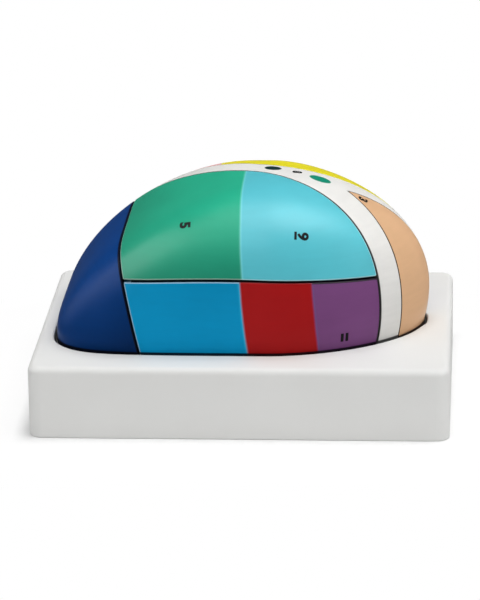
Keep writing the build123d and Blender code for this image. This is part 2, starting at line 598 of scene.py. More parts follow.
@dataclass(frozen=True)
class Division:
    """Where the joints divide the dome, placed from its crown.

    Angles are in degrees, and those seen from above are counted from straight ahead.
    """

    dome: Dome
    gap: float = 0.3
    seam_gap: float = 0.6
    rear_cut: float = -57.5
    rear_lean: float = 11.3
    rear_ends: Point = (-50.0, 150.0)
    near_foot: Point = (52.7, -36.2)
    near_angle: float = -33.4
    stem_width: float = 9.5
    tip: Point = (35.2, -6.0)
    tip_near_angle: float = -39.6
    tip_far_angle: float = 18.0
    far_middle: Point = (33.5, 7.0)
    far_front: Point = (74.5, 15.0)
    far_corner: float = -6.0
    seam_crest: float = -21.5
    seam_height: float = 35.0
    seam_radius: float = 640.0
    seam_reach: Point = (-100.0, 130.0)
    beyond: float = 300.0
    steps: int = 32
    least_step: float = 0.5

    def placed(self, point: Point) -> Point:
        """A place given from the crown, in the frame."""
        return self.dome.crown[0] + point[0], self.dome.crown[1] + point[1]

    def corners(self, grow: float) -> dict[str, Point]:
        """Finds the corners of the core, seen from above.

        Args:
            grow: how far each side of the core is moved outwards.

        Returns:
            Each corner by name.
        """
        foot = along(self.placed(self.near_foot), self.near_angle - 90, grow)
        far_foot = along(foot, self.near_angle + 90, self.stem_width + 2 * grow)
        forward = math.cos(math.radians(self.near_angle))
        run = (self.dome.crown[0] + self.far_corner - far_foot[0]) / forward
        half_opening = math.radians(self.tip_far_angle - self.tip_near_angle) / 2
        tip_angle = (self.tip_far_angle + self.tip_near_angle) / 2
        tip = along(self.placed(self.tip), tip_angle, grow / math.sin(half_opening))
        return {
            "near_front": along(foot, self.near_angle, self.beyond),
            "near_rear": along(foot, self.near_angle, -self.beyond),
            "far_rear": along(far_foot, self.near_angle, -self.beyond),
            "corner": along(far_foot, self.near_angle, run),
            "middle": along(self.placed(self.far_middle), 90, grow),
            "front": along(self.placed(self.far_front), 90, grow),
            "far_tip": along(tip, self.tip_far_angle, self.beyond),
            "tip": tip,
            "near_tip": along(tip, self.tip_near_angle, self.beyond),
        }

    def far_circle(self, grow: float) -> tuple[Point, float]:
        """The centre and radius of the core's far side, seen from above."""
        at = self.corners(grow)
        return circle_through(at["corner"], at["middle"], at["front"])

    def far_arc(self, grow: float) -> list[Point]:
        """Lists points along the arc of the core's far side, from its corner to the front.

        Args:
            grow: how far the core's sides are moved outwards.

        Returns:
            The points, seen from above.
        """
        at = self.corners(grow)
        centre, radius = self.far_circle(grow)
        ends = [math.atan2(at[n][1] - centre[1], at[n][0] - centre[0]) for n in ("corner", "front")]
        turns = np.linspace(ends[0], ends[1], self.steps + 1)
        return [(centre[0] + radius * math.cos(t), centre[1] + radius * math.sin(t)) for t in turns]

    def far_side(self, grow: float) -> list[Point]:
        """Lists points along the core's far side, from its rear to its front.

        Args:
            grow: how far the core's sides are moved outwards.

        Returns:
            The points, seen from above.
        """
        at = self.corners(grow)
        front = (at["far_tip"][0], at["front"][1] + at["far_tip"][1] - at["tip"][1])
        return [at["far_rear"], *self.far_arc(grow), front]

    def core_plan(self) -> list[Point]:
        """Finds the core's outline.

        Returns:
            The outline's points, seen from above.
        """
        at = self.corners(0)
        ends = [at[name] for name in ("far_tip", "tip", "near_tip")]
        return [at["near_front"], at["near_rear"], *self.far_side(0), *ends]

    def near_plan(self) -> list[Point]:
        """Finds the outline of the near side's blocks.

        Returns:
            The outline's points, seen from above.
        """
        at = self.corners(self.gap)
        sides = [(-self.beyond, -self.beyond), (self.beyond, -self.beyond)]
        return [at["near_front"], at["near_rear"], *sides]

    def far_plan(self) -> list[Point]:
        """The outline of the far side's blocks seen from above."""
        return [*self.far_side(self.gap), (self.beyond, self.beyond)]

    def front_plan(self) -> list[Point]:
        """The front block's outline seen from above."""
        at = self.corners(self.gap)
        return [at["near_tip"], at["far_tip"], at["tip"]]

    def seam_axis(self) -> Vector:
        """A point of the axis that the seam is round."""
        x = self.dome.crown[0] + self.seam_crest
        return Vector((x, 0, self.dome.rim + self.seam_height - self.seam_radius))

    def seam_line(self, grow: float) -> list[Point]:
        """Lists points along the seam seen from the near side, from the rear to the front.

        Args:
            grow: how far the line is moved up.

        Returns:
            The points, as x and z.
        """
        axis, radius = self.seam_axis(), self.seam_radius + grow
        offsets = np.linspace(*self.seam_reach, 2 * self.steps + 1)
        return [(axis.x + o, axis.z + math.sqrt(radius**2 - o**2)) for o in offsets]

    def rear_line(self, shift: float) -> list[Point]:
        """Finds the lower and the upper end of the rear joint seen from the near side.

        Args:
            shift: how far the joint is moved to the front.

        Returns:
            The ends, as x and z.
        """
        x = self.dome.crown[0] + self.rear_cut + shift
        slope = math.tan(math.radians(self.rear_lean))
        return [(x - slope * (z - self.dome.rim), z) for z in self.rear_ends]

    def profile(self, level: Level) -> list[Point]:
        """Finds what the blocks before the rear joint take up, seen from the near side.

        Args:
            level: which side of the seam is meant.

        Returns:
            The outline's points, as x and z.
        """
        low, high = self.rear_line(self.gap)
        ahead = self.beyond
        if level is Level.WHOLE:
            return [low, (ahead, low[1]), (ahead, high[1]), high]
        lower = level is Level.LOWER
        seam = self.seam_line(0 if lower else self.seam_gap)
        behind = low if lower else high
        slope = (high[0] - low[0]) / (high[1] - low[1])
        seam = [p for p in seam if p[0] > low[0] + slope * (p[1] - low[1]) + self.least_step]
        first = seam[0]
        start = (low[0] + slope * (first[1] - low[1]), first[1])
        return [behind, start] + seam + [(ahead, seam[-1][1]), (ahead, behind[1])]

    def rear_profile(self) -> list[Point]:
        """What the rear block takes up, seen from the near side."""
        low, high = self.rear_line(0)
        return [low, high, (-self.beyond, high[1]), (-self.beyond, low[1])]

    def upright(self, place: Point, degrees: float) -> Wall:
        """An upright wall whose way out is a direction seen from above."""
        outward = along((0, 0), degrees, 1)
        return Wall(Vector((*place, 0)), Vector((*outward, 0)))

    def rear_wall(self, front: bool) -> Wall:
        """Finds a face of the rear joint.

        Args:
            front: whether it is the face on the blocks before the joint, and not on the rear block.

        Returns:
            The face.
        """
        low, _ = self.rear_line(self.gap if front else 0)
        lean = math.radians(self.rear_lean)
        way = Vector((math.cos(lean), 0, math.sin(lean)))
        return Wall(Vector((low[0], 0, low[1])), -way if front else way)

    def seam(self, level: Level) -> Arch:
        """Finds the seam's face.

        Args:
            level: whether the face is on a lower or an upper block.

        Returns:
            The face.
        """
        lower = level is Level.LOWER
        radius = self.seam_radius + (0 if lower else self.seam_gap)
        return Arch(self.seam_axis(), Vector((0, 1, 0)), radius, lower)

    def far_arch(self, grow: float, inside: bool) -> Arch:
        """The far arc's face on the far blocks, inside its circle, or on the core."""
        centre, radius = self.far_circle(grow)
        return Arch(Vector((*centre, 0)), Vector((0, 0, 1)), radius, inside)

    def core_joints(self) -> list[Joint]:
        """Finds the joints round the core.

        Returns:
            The joints.
        """
        at = self.corners(0)
        near = self.upright(at["near_front"], self.near_angle - 90)
        stem = self.upright(at["far_rear"], self.near_angle + 90)
        ways = (self.tip_near_angle + 90, self.tip_far_angle - 90)
        wedge = Nook(*(self.upright(at["tip"], way) for way in ways))
        far = Bend(stem, self.far_arch(0, False), at["corner"][0])
        return [near, far, wedge, self.rear_wall(True)]

    def near_joints(self, level: Level) -> list[Joint]:
        """Finds the joints round a block of the near side.

        Args:
            level: whether it is the lower or the upper block.

        Returns:
            The joints.
        """
        at = self.corners(self.gap)
        near = self.upright(at["near_front"], self.near_angle + 90)
        return [near, self.rear_wall(True), self.seam(level)]

    def far_joints(self, level: Level) -> list[Joint]:
        """Finds the joints round a block of the far side.

        Args:
            level: whether it is the lower or the upper block.

        Returns:
            The joints.
        """
        at = self.corners(self.gap)
        stem = self.upright(at["far_rear"], self.near_angle - 90)
        core = Bend(stem, self.far_arch(self.gap, True), at["corner"][0])
        return [core, self.rear_wall(True), self.seam(level)]

    def front_joints(self) -> list[Joint]:
        """Finds the joints round the front block.

        Returns:
            The joints.
        """
        tip = self.corners(self.gap)["tip"]
        ways = (self.tip_near_angle - 90, self.tip_far_angle + 90)
        return [self.upright(tip, way) for way in ways]


def prism(
    name: str, outline: Sequence[Point], upright: bool, reach: float = 300.0
) -> bpy.types.Object:
    """Makes a cutting solid with one outline all the way through.

    Args:
        name: the object's name.
        outline: the outline's points, seen from above or from the near side.
        upright: whether the outline is seen from above.
        reach: how far the solid goes on each side.

    Returns:
        The solid.
    """
    mesh = bmesh.new()
    rings = []
    for end in (-reach, reach):
        places = [(a, b, end) if upright else (a, end, b) for a, b in outline]
        rings.append([mesh.verts.new(place) for place in places])
    mesh.faces.new(rings[0])
    mesh.faces.new(list(reversed(rings[1])))
    count = len(outline)
    for i in range(count):
        j = (i + 1) % count
        mesh.faces.new((rings[0][j], rings[0][i], rings[1][i], rings[1][j]))
    bmesh.ops.recalc_face_normals(mesh, faces=mesh.faces)
    data = bpy.data.meshes.new(name)
    mesh.to_mesh(data)
    mesh.free()
    return new_object(name, data)


@dataclass
class Block:
    """A block of the dome with softly rounded edges.

    Rows are the shares of the rounding that lie beyond each line drawn for it on the outer faces. A
    face counts as the skin's or a joint's within the slack of it, if it is turned the same way to
    within the cosine. How near to a joint a point is scored or rounded is given in radii.
    """

    node: str
    plan: list[Point] | None
    profile: list[Point] | None
    joints: list[Joint]
    radius: float = 0.9
    rows: Point = (0.586, 1.0)
    close: float = 0.03
    weld: float = 0.004
    slack: float = 0.05
    skin_cosine: float = 0.8
    wall_cosine: float = 0.9
    scored_within: float = 6.0
    rounded_within: float = 3.0
    halvings: int = 10
    tiny: float = 1e-6
    ball_slack: float = 1e-4

    def cut(self, shell: bpy.types.Object) -> bpy.types.Object:
        """Cuts the block out of the whole dome, with sharp edges.

        Args:
            shell: the whole dome.

        Returns:
            The sharp block.
        """
        rough = new_object(f"{self.node}_rough", shell.data.copy())
        for outline, upright in ((self.plan, True), (self.profile, False)):
            if outline is None:
                continue
            cutter = prism(f"{self.node}_cutter", outline, upright)
            modifier = rough.modifiers.new("cut", "BOOLEAN")
            modifier.operation = "INTERSECT"
            modifier.solver = "EXACT"
            modifier.object = cutter
            rough = settled(rough, rough.name)
            bpy.data.objects.remove(cutter)
        return rough

    def score(self, mesh: bmesh.types.BMesh, joint: Joint, share: float, skin: Skin) -> None:
        """Draws a line across the outer faces where a share of a joint's rounding is left.

        Args:
            mesh: the block's mesh.
            joint: the joint whose edge is rounded.
            share: how much of the rounding lies beyond the line.
            skin: the dome's outer surface.
        """

        def measure(point: Vector) -> float:
            """How far a point lies beyond the line."""
            out, way, _ = skin.at(point)
            return joint.depth(point) + share * self.radius * (1 - way.dot(joint.way(point)))

        outer = {face for face in mesh.faces if self.on_skin(face, skin)}
        deepest = -self.scored_within * self.radius
        near = [v for v in mesh.verts if deepest < joint.depth(v.co)]
        reading = {v: measure(v.co) for v in near}
        picked = [v for v in near if abs(reading[v]) < self.close]
        for edge in list(mesh.edges):
            a, b = edge.verts
            if a not in reading or b not in reading or outer.isdisjoint(edge.link_faces):
                continue
            if reading[a] * reading[b] >= 0 or min(abs(reading[a]), abs(reading[b])) < self.close:
                continue
            low, high = 0.0, 1.0
            for _ in range(self.halvings):
                middle = (low + high) / 2
                if measure(a.co.lerp(b.co, middle)) * reading[a] > 0:
                    low = middle
                else:
                    high = middle
            _, fresh = bmesh.utils.edge_split(edge, a, (low + high) / 2)
            picked.append(fresh)
        bmesh.ops.connect_verts(mesh, verts=picked)
        mesh.normal_update()

    def build(self, shell: bpy.types.Object, skin: Skin) -> bpy.types.Object:
        """Cuts the block, rounds its edges and sets its shading.

        Args:
            shell: the whole dome.
            skin: the dome's outer surface.

        Returns:
            The block, in metres.
        """
        rough = self.cut(shell)
        mesh = bmesh.new()
        mesh.from_mesh(rough.data)
        bpy.data.objects.remove(rough)
        bmesh.ops.remove_doubles(mesh, verts=mesh.verts, dist=self.weld)
        bmesh.ops.dissolve_degenerate(mesh, edges=mesh.edges, dist=self.weld)
        for joint in self.joints:
            for share in self.rows:
                self.score(mesh, joint, share, skin)
        self.ring_walls(mesh, skin)
        return self.finished(mesh, skin)

    def on_skin(self, face: bmesh.types.BMFace, skin: Skin) -> bool:
        """Whether a face belongs to the outer surface."""
        out, way, _ = skin.at(face.calc_center_median())
        return abs(out) < self.slack and face.normal.dot(way) > self.skin_cosine

    def ring_walls(self, mesh: bmesh.types.BMesh, skin: Skin) -> None:
        """Gives each joint's faces two rings of extra points, at first on top of their edge.

        Args:
            mesh: the block's mesh, which gets each point's ring and joint as layers.
            skin: the dome's outer surface.
        """
        ring = mesh.verts.layers.int.new("ring")
        owner = mesh.verts.layers.int.new("owner")
        walls: list[list[bmesh.types.BMFace]] = [[] for _ in self.single_joints()]
        for face in mesh.faces:
            if self.on_skin(face, skin):
                continue
            centre = face.calc_center_median()
            for joint, wall in zip(self.single_joints(), walls):
                facing = face.normal.dot(joint.way(centre))
                if abs(joint.depth(centre)) < self.slack and facing > self.wall_cosine:
                    wall.append(face)
                    break
        for number, wall in enumerate(walls):
            for row in (1, 2) if wall else ():
                grown = bmesh.ops.inset_region(mesh, faces=wall, thickness=0.0, use_boundary=True)
                inside = {vert for face in wall for vert in face.verts}
                for vert in {vert for face in grown["faces"] for vert in face.verts}:
                    if vert in inside or row == 2:
                        vert[ring], vert[owner] = row if vert in inside else 1, number

    def single_joints(self) -> list[Joint]:
        """Lists the joints with both of each pair.

        Returns:
            The joints.
        """
        single: list[Joint] = []
        for joint in self.joints:
            single += [joint.first, joint.second] if isinstance(joint, Pair) else [joint]
        return single

    def held(self, limits: Sequence[tuple[float, Vector]]) -> tuple[Vector, int]:
        """Finds the ball of the rounding that is nearest to a point.

        Args:
            limits: how far the point stands outside each face near it, and the way out of it.

        Returns:
            The way from the ball's centre to the point, and how many faces the ball touches.
        """
        for count in (1, 2, 3):
            for chosen in combinations(limits, count):
                ways = np.array([way for _, way in chosen])
                table = ways @ ways.T
                if abs(np.linalg.det(table)) < self.tiny:
                    continue
                pull = np.linalg.solve(table, [self.radius + depth for depth, _ in chosen])
                shift = Vector(ways.T @ pull)
                most = self.ball_slack - self.radius
                if min(pull) > -self.tiny and all(d - way.dot(shift) < most for d, way in limits):
                    return shift, count
        return Vector(), 0

    def rounded(
        self, point: Vector, skin: Skin, wall: Vector | None, row: int
    ) -> tuple[Vector, Vector | None, float]:
        """Finds where a point of the sharp block goes on the rounded one.

        Args:
            point: a point of the block's surface.
            skin: the dome's outer surface.
            wall: the way out of the joint whose ring the point is in, or nothing.
            row: the ring's number, from 0 at the edge to 2 where the rounding ends.

        Returns:
            Its new place, the way out there if it is on a rounding, and how far round the edge it
            is, from 0 on the outer face to 1 on a joint.
        """
        limits = [(min(joint.depth(point), 0.0), joint.way(point)) for joint in self.joints]
        deepest = -self.rounded_within * self.radius
        limits = [(depth, way) for depth, way in limits if depth > deepest]
        out, way, _ = skin.at(point)
        inner = float(out < -self.slack)
        if not limits:
            return point, None, inner
        limits.append((min(out, 0.0), way))
        shift, count = self.held(limits)
        if count < 2:
            return point, None, inner
        spoke = shift.normalized()
        if wall is not None:
            spoke = wall if row == 2 else (spoke + wall).normalized()
        turned = min(1.0, spoke.angle(way) / math.radians(90))
        return point - shift + spoke * self.radius, spoke, turned

    def finished(self, mesh: bmesh.types.BMesh, skin: Skin) -> bpy.types.Object:
        """Rounds the edges and sets the shading.

        Args:
            mesh: the block's mesh with its rings, which is used up.
            skin: the dome's outer surface.

        Returns:
            The block, in metres.
        """
        ring, owner = mesh.verts.layers.int["ring"], mesh.verts.layers.int["owner"]
        outer = {f.index for f in self.numbered(mesh) if self.on_skin(f, skin)}
        single = self.single_joints()
        moved = []
        for vert in mesh.verts:
            wall = single[vert[owner]].way(vert.co) if vert[ring] else None
            moved.append(self.rounded(vert.co, skin, wall, vert[ring]))
        smooth = [
            skin.at(vert.co)[1] if any(face.index in outer for face in vert.link_faces) else None
            for vert in mesh.verts
        ]
        flat = [self.face_way(f, single) for f in mesh.faces]
        for vert, (place, _, _) in zip(mesh.verts, moved):
            vert.co = place
        data = bpy.data.meshes.new(self.node)
        mesh.to_mesh(data)
        mesh.free()
        turn = data.attributes.new("turn", "FLOAT", "POINT")
        turn.data.foreach_set("value", [turned for _, _, turned in moved])
        ways = []
        for face in data.polygons:
            face.use_smooth = True
            for number in face.vertices:
                if moved[number][1] is not None:
                    ways.append(moved[number][1])
                elif face.index in outer and smooth[number] is not None:
                    ways.append(smooth[number])
                else:
                    ways.append(flat[face.index])
        data.normals_split_custom_set(ways)
        data.transform(Matrix.Scale(MM, 4))
        return new_object(f"{self.node}_painted", data)

    def face_way(self, face: bmesh.types.BMFace, joints: Sequence[Joint]) -> Vector:
        """Finds the way out of a flat face, from its joint where it has shrunk to nothing.

        Args:
            face: the face.
            joints: the block's single joints.

        Returns:
            The way.
        """
        if face.calc_area() > self.tiny:
            return face.normal.copy()
        centre = face.calc_center_median()
        nearest = min(joints, key=lambda joint: abs(joint.depth(centre)))
        return nearest.way(centre)

    @staticmethod
    def numbered(mesh: bmesh.types.BMesh) -> bmesh.types.BMFaceSeq:
        """Brings the numbers of a mesh's points and faces up to date.

        Args:
            mesh: the mesh.

        Returns:
            Its faces.
        """
        mesh.verts.index_update()
        mesh.faces.index_update()
        mesh.normal_update()
        return mesh.faces


# Finishes


class Effects:
    """The shader groups that several finishes share.

    Scales are per metre. Where the rim's painted highlight and shade, and the joint's painted
    shade, begin is in shares of a quarter turn round an edge.
    """

    cloud_scale = 34.0
    streak_scale = (60.0, 60.0, 420.0)
    streak_share = 0.35
    roughness_spread = 0.16
    # A painted highlight along the rounded edges, and painted shade on the joints and along the
    # foot
    painted_rim_begins = (0.02, 0.2)
    rim_highlight_ends = (0.4, 0.6)
    rim_highlight_tint = (0.9, 0.95, 0.9, 1.0)
    rim_highlight_strength = 0.4
    joint_shade_begins = (0.35, 0.6)
    joint_shade_colour = (0.004, 0.004, 0.006, 1.0)
    foot_shadow_softness = 0.3 * MM
    waver_scale = 90.0
    line_width = 0.9 * MM

    def __init__(self) -> None:
        """Builds the groups."""
        self.paint = self.paint_group()
        self.border = self.border_group()
        self.grain = self.grain_group()

    @staticmethod
    def grain_group() -> bpy.types.NodeTree:
        """Builds the slight waves and fine grain of a smooth surface, as a height in millimetres.

        Returns:
            The group.
        """
        inputs = {
            "Position": (VECTOR, None),
            "Wave Size": (NUMBER, 12.0),
            "Grain Size": (NUMBER, 0.5),
            "Wave": (NUMBER, 0.02),
            "Grain": (NUMBER, 0.004),
        }
        outputs = {"Height": NUMBER, "Cloud": NUMBER}
        g = new_group("ShaderNodeTree", "surface_grain", inputs, outputs)
        heights = []
        for name in ("Wave", "Grain"):
            fineness = g.maths("DIVIDE", 1 / MM, g.given[f"{name} Size"])
            noise = g.noise(g.given["Position"], fineness, detail=2.0)
            centred = g.maths("SUBTRACT", noise, 0.5)
            heights.append(g.maths("MULTIPLY", centred, g.given[name]))
            if name == "Wave":
                g.feed(g.wanted["Cloud"], noise)
        g.feed(g.wanted["Height"], g.maths("ADD", *heights))
        return g.tree

    def paint_group(self) -> bpy.types.NodeTree:
        """Builds satin paint: faint clouds, painted highlight and shade on its rims, joints and
        foot.

        Returns:
            The group.
        """
        inputs = {
            "Position": (VECTOR, None),
            "Paint": (COLOUR, (0.5, 0.5, 0.5, 1.0)),
            "Turn": (NUMBER, 0.0),
            "Rim": (NUMBER, 0.0),
            "Joint Dark": (NUMBER, 0.9),
            "Foot Level": (NUMBER, 0.0343),
            "Clouding": (NUMBER, 0.12),
            "Roughness": (NUMBER, 0.36),
        }
        outputs = {"Colour": COLOUR, "Roughness": NUMBER}
        g = new_group("ShaderNodeTree", "satin_paint", inputs, outputs)
        given = g.given
        place, turn, rim = given["Position"], given["Turn"], given["Rim"]
        clouds = g.noise(place, self.cloud_scale, detail=3.0)
        streaks = g.node("ShaderNodeMapping", {"Vector": place, "Scale": self.streak_scale})
        brush = g.noise(streaks.outputs[0], scale=1.0, detail=2.0)
        soft = g.maths("MULTIPLY", clouds, 1 - self.streak_share)
        mixed = g.maths("MULTIPLY_ADD", brush, self.streak_share, soft)
        shift = g.maths("MULTIPLY", g.maths("SUBTRACT", mixed, 0.5), given["Clouding"])
        value = g.maths("ADD", 1.0, g.maths("MULTIPLY", shift, 2.0))
        shaded = g.valued(given["Paint"], value)
        # The rim: a painted highlight on the rounded edges where Rim is above 0, a painted shade
        # below 0
        rising = g.ramp(turn, self.painted_rim_begins)
        falling = g.ramp(turn, self.rim_highlight_ends, (1.0, 0.0))
        light = g.maths("MAXIMUM", rim, 0.0)
        edge = g.maths("MULTIPLY", g.maths("MULTIPLY", rising, falling), light)
        rim_highlighted = g.mixed(edge, shaded, g.mixed(self.rim_highlight_strength, shaded, self.rim_highlight_tint))
        # Painted shade on the joint faces in the gaps, and a painted shadow along the foot in the
        # pocket
        inner = g.ramp(turn, self.joint_shade_begins)
        level = g.node("ShaderNodeSeparateXYZ", {0: place}).outputs["Z"]
        above = g.maths("SUBTRACT", given["Foot Level"], level)
        foot = g.maths("ADD", g.maths("DIVIDE", above, self.foot_shadow_softness), 0.5, clamp=True)
        outer = g.maths("MULTIPLY", rising, g.maths("MAXIMUM", g.maths("MULTIPLY", rim, -1.0), 0.0))
        painted_shade_share = g.maths("MAXIMUM", g.maths("MAXIMUM", inner, outer), foot)
        dark = g.maths("MULTIPLY", painted_shade_share, given["Joint Dark"])
        g.feed(g.wanted["Colour"], g.mixed(dark, rim_highlighted, self.joint_shade_colour))
        centred = g.maths("SUBTRACT", clouds, 0.5)
        rough = g.maths("MULTIPLY_ADD", centred, self.roughness_spread, given["Roughness"])
        g.feed(g.wanted["Roughness"], rough)
        return g.tree

    def border_group(self) -> bpy.types.NodeTree:
        """Builds a hand-cut border between two painted fields: 0 behind it and 1 before it.

        Returns:
            The group.
        """
        inputs = {
            "Position": (VECTOR, None),
            "Place": (NUMBER, 0.0),
            "Level": (NUMBER, 0.05),
            "Lean": (NUMBER, 0.0),
            "Bow": (NUMBER, 0.0),
            "Waver": (NUMBER, 0.0003),
            "Softness": (NUMBER, 0.00025),
        }
        outputs = {"Ahead": NUMBER, "Line": NUMBER}
        g = new_group("ShaderNodeTree", "painted_border", inputs, outputs)
        given = g.given
        place = g.node("ShaderNodeSeparateXYZ", {0: given["Position"]}).outputs
        fallen = g.maths("SUBTRACT", given["Level"], place["Z"])
        lean = g.maths("MULTIPLY", fallen, given["Lean"])
        drop = g.maths("MAXIMUM", fallen, 0.0)
        bow = g.maths("MULTIPLY", g.maths("MULTIPLY", drop, drop), given["Bow"])
        noise = g.noise(given["Position"], self.waver_scale, detail=1.0)
        centred = g.maths("SUBTRACT", noise, 0.5)
        waver = g.maths("MULTIPLY", centred, given["Waver"])
        line = g.maths("ADD", g.maths("ADD", given["Place"], lean), g.maths("ADD", bow, waver))
        past = g.maths("SUBTRACT", place["X"], line)
        share = g.maths("DIVIDE", past, given["Softness"])
        g.feed(g.wanted["Ahead"], g.maths("ADD", share, 0.5, clamp=True))
        off = g.maths("ABSOLUTE", g.maths("DIVIDE", past, self.line_width))
        g.feed(g.wanted["Line"], g.maths("SUBTRACT", 1.0, off, clamp=True))
        return g.tree


# A clear coat of this weight reflects as much as a specular level of 1
COAT_PER_SHINE = 2.0


@dataclass(frozen=True)
class Coat:
    """The paint of one field: its colour, how strongly it reflects, and how bright it is low down.

    How bright it is low down is a painted light and shade for how the lamps fall with height. The
    rim along its edges is a painted highlight above 0 and a painted shade below 0.
    """

    colour: Colour
    shine: float = 0.2
    low: float = 1.0
    rim: float = 0.0


@dataclass(frozen=True)
class Border:
    """Where one painted field ends and the next begins, in millimetres along the model.

    Downwards from its level it leans to the front and bows. A thin line along it has a colour of
    its own, of which light is the share.
    """

    place: float
    level: float = 50.0
    lean: float = 0.0
    bow: float = 0.0
    colour: Colour = (0.3, 0.7, 0.7)
    light: float = 0.0


@dataclass(frozen=True)
class Oval:
    """An oval spot painted on top of a field.

    It reaches straight through the block. The edge is where the paint ends, in half sizes, and the
    crispness is how fast it ends there.
    """

    centre: Point
    size: Point
    turn: float
    paint: Colour
    upright: float = 1000.0
    edge: float = 1.03
    crispness: float = 16.0


@dataclass(frozen=True)
class SatinPaint:
    """Satin paint in one or more fields that follow each other towards the front.

    A coat's brightness changes over the rise, a painted light and shade for how the lamps fall with
    height. The paint is dark below the foot and on the joints, a painted shadow and painted shade.
    The shade is a painted shade that deepens it in a direction, over a stretch in metres. The ridge
    is how high the paint stands along a border.
    """

    name: str
    coats: tuple[Coat, ...]
    borders: tuple[Border, ...] = ()
    ovals: tuple[Oval, ...] = ()
    rise: Point = (34.0, 70.0)
    joint_shade: float = 0.95
    foot: float = 34.3
    shade: float = 1.0
    painted_shade_way: Place = (0.75, 0.0, -0.66)
    painted_shade_over: Point = (-0.095, -0.062)
    clouding: float = 0.14
    roughness: float = 0.38
    ridge: float = 0.03

    def material(self, effects: Effects) -> bpy.types.Material:
        """Builds the material.

        Args:
            effects: the shared shader groups.

        Returns:
            The material.
        """
        m = MaterialMaker(self.name)
        colour: object = self.with_painted_height_light(m, self.coats[0])
        rim: object = self.coats[0].rim
        ridge: object = 0.0
        starts = []
        for border, coat in zip(self.borders, self.coats[1:]):
            sizes = {"Place": border.place * MM, "Level": border.level * MM}
            edge = m.effect(effects.border, **sizes, Lean=border.lean, Bow=border.bow / MM)
            starts.append(edge["Ahead"])
            colour = m.mixed(edge["Ahead"], colour, self.with_painted_height_light(m, coat))
            rim = m.between(edge["Ahead"], rim, coat.rim)
            light = m.maths("MULTIPLY", edge["Line"], border.light)
            colour = m.mixed(light, colour, opaque(border.colour))
            ridge = m.maths("MAXIMUM", ridge, edge["Line"])
        for oval in self.ovals:
            colour = m.mixed(self.oval_mask(m, oval), colour, opaque(oval.paint))
        skin = m.effect(
            effects.paint,
            Paint=self.shaded(m, colour),
            Turn=m.node("ShaderNodeAttribute", attribute_name="turn").outputs["Fac"],
            Rim=rim,
            Joint_Dark=self.joint_shade,
            Foot_Level=self.foot * MM,
            Clouding=self.clouding,
            Roughness=self.roughness,
        )
        grain = m.effect(effects.grain)
        height = m.maths("MULTIPLY_ADD", ridge, self.ridge, grain["Height"])
        inputs = {"Base Color": skin["Colour"], "Roughness": skin["Roughness"]}
        return m.surface(inputs | {"Normal": m.bump(height)} | self.shining(m, starts))

    def shining(self, m: MaterialMaker, starts: Sequence[object]) -> dict[str, object]:
        """Finds how strongly the fields reflect.

        The weakest field's shine is the shader's own, and the others get a clear coat on top.

        Args:
            m: the material's maker.
            starts: for each field after the first, the socket that goes from 0 behind its border
                to 1 before it.

        Returns:
            The shader's inputs.
        """
        weakest = min(coat.shine for coat in self.coats)
        more = [COAT_PER_SHINE * (coat.shine - weakest) for coat in self.coats]
        inputs: dict[str, object] = {"Specular IOR Level": weakest}
        if any(more):
            weight: object = more[0]
            for start, share in zip(starts, more[1:]):
                weight = m.between(start, weight, share)
            inputs |= {"Coat Weight": weight, "Coat Roughness": self.roughness}
        return inputs

    def with_painted_height_light(self, m: MaterialMaker, coat: Coat) -> object:
        """Finds a coat's colour, with painted light and shade by height where the coat asks for it.

        Args:
            m: the material's maker.
            coat: the coat.

        Returns:
            The colour or its socket.
        """
        if coat.low == 1.0:
            return opaque(coat.colour)
        level = m.node("ShaderNodeSeparateXYZ", {0: m.place}).outputs["Z"]
        share = m.ramp(level, tuple(height * MM for height in self.rise))
        return m.mixed(share, opaque(coat.colour, coat.low), opaque(coat.colour))

    def shaded(self, m: MaterialMaker, colour: object) -> object:
        """Adds a painted shade towards the block's lower front where the finish asks for it.

        Args:
            m: the material's maker.
            colour: the paint's colour or its socket.

        Returns:
            The colour or its socket.
        """
        if self.shade == 1.0:
            return colour
        reached = m.vectors("DOT_PRODUCT", m.place, self.painted_shade_way)["Value"]
        return m.valued(colour, m.ramp(reached, self.painted_shade_over, (1.0, self.shade)))

    @staticmethod
    def oval_mask(m: MaterialMaker, oval: Oval) -> bpy.types.NodeSocket:
        """Finds where an oval's paint lies.

        Args:
            m: the material's maker.
            oval: the oval.

        Returns:
            The socket of a number from 0 to 1.
        """
        inputs = {
            "Vector": m.place,
            "Location": (oval.centre[0] * MM, oval.centre[1] * MM, 0.0),
            "Rotation": (0.0, 0.0, math.radians(oval.turn)),
            "Scale": (oval.size[0] * MM / 2, oval.size[1] * MM / 2, oval.upright),
        }
        turned = m.node("ShaderNodeMapping", inputs, vector_type="TEXTURE").outputs[0]
        far = m.vectors("LENGTH", turned)["Value"]
        return m.maths("MULTIPLY", m.maths("SUBTRACT", oval.edge, far), oval.crispness, clamp=True)


@dataclass(frozen=True)
class WhitePlastic:
    """Moulded white plastic with a soft satin skin."""

    colour: Colour = (0.765, 0.765, 0.75)
    shade: float = 0.95
    roughness: float = 0.55
    roughness_spread: float = 0.15
    shine: float = 0.1

    def material(self, effects: Effects) -> bpy.types.Material:
        """Builds the material.

        Args:
            effects: the shared shader groups.

        Returns:
            The material.
        """
        m = MaterialMaker("white_plastic")
        grain = m.effect(effects.grain, Wave_Size=26.0, Grain_Size=0.7, Wave=0.05, Grain=0.006)
        cloud = grain["Cloud"]
        colour = m.mixed(cloud, opaque(self.colour, self.shade), opaque(self.colour))
        shift = m.maths("SUBTRACT", cloud, 0.5)
        rough = m.maths("MULTIPLY_ADD", shift, self.roughness_spread, self.roughness)
        inputs = {"Base Color": colour, "Roughness": rough, "Normal": m.bump(grain["Height"])}
        return m.surface(inputs | {"Specular IOR Level": self.shine})


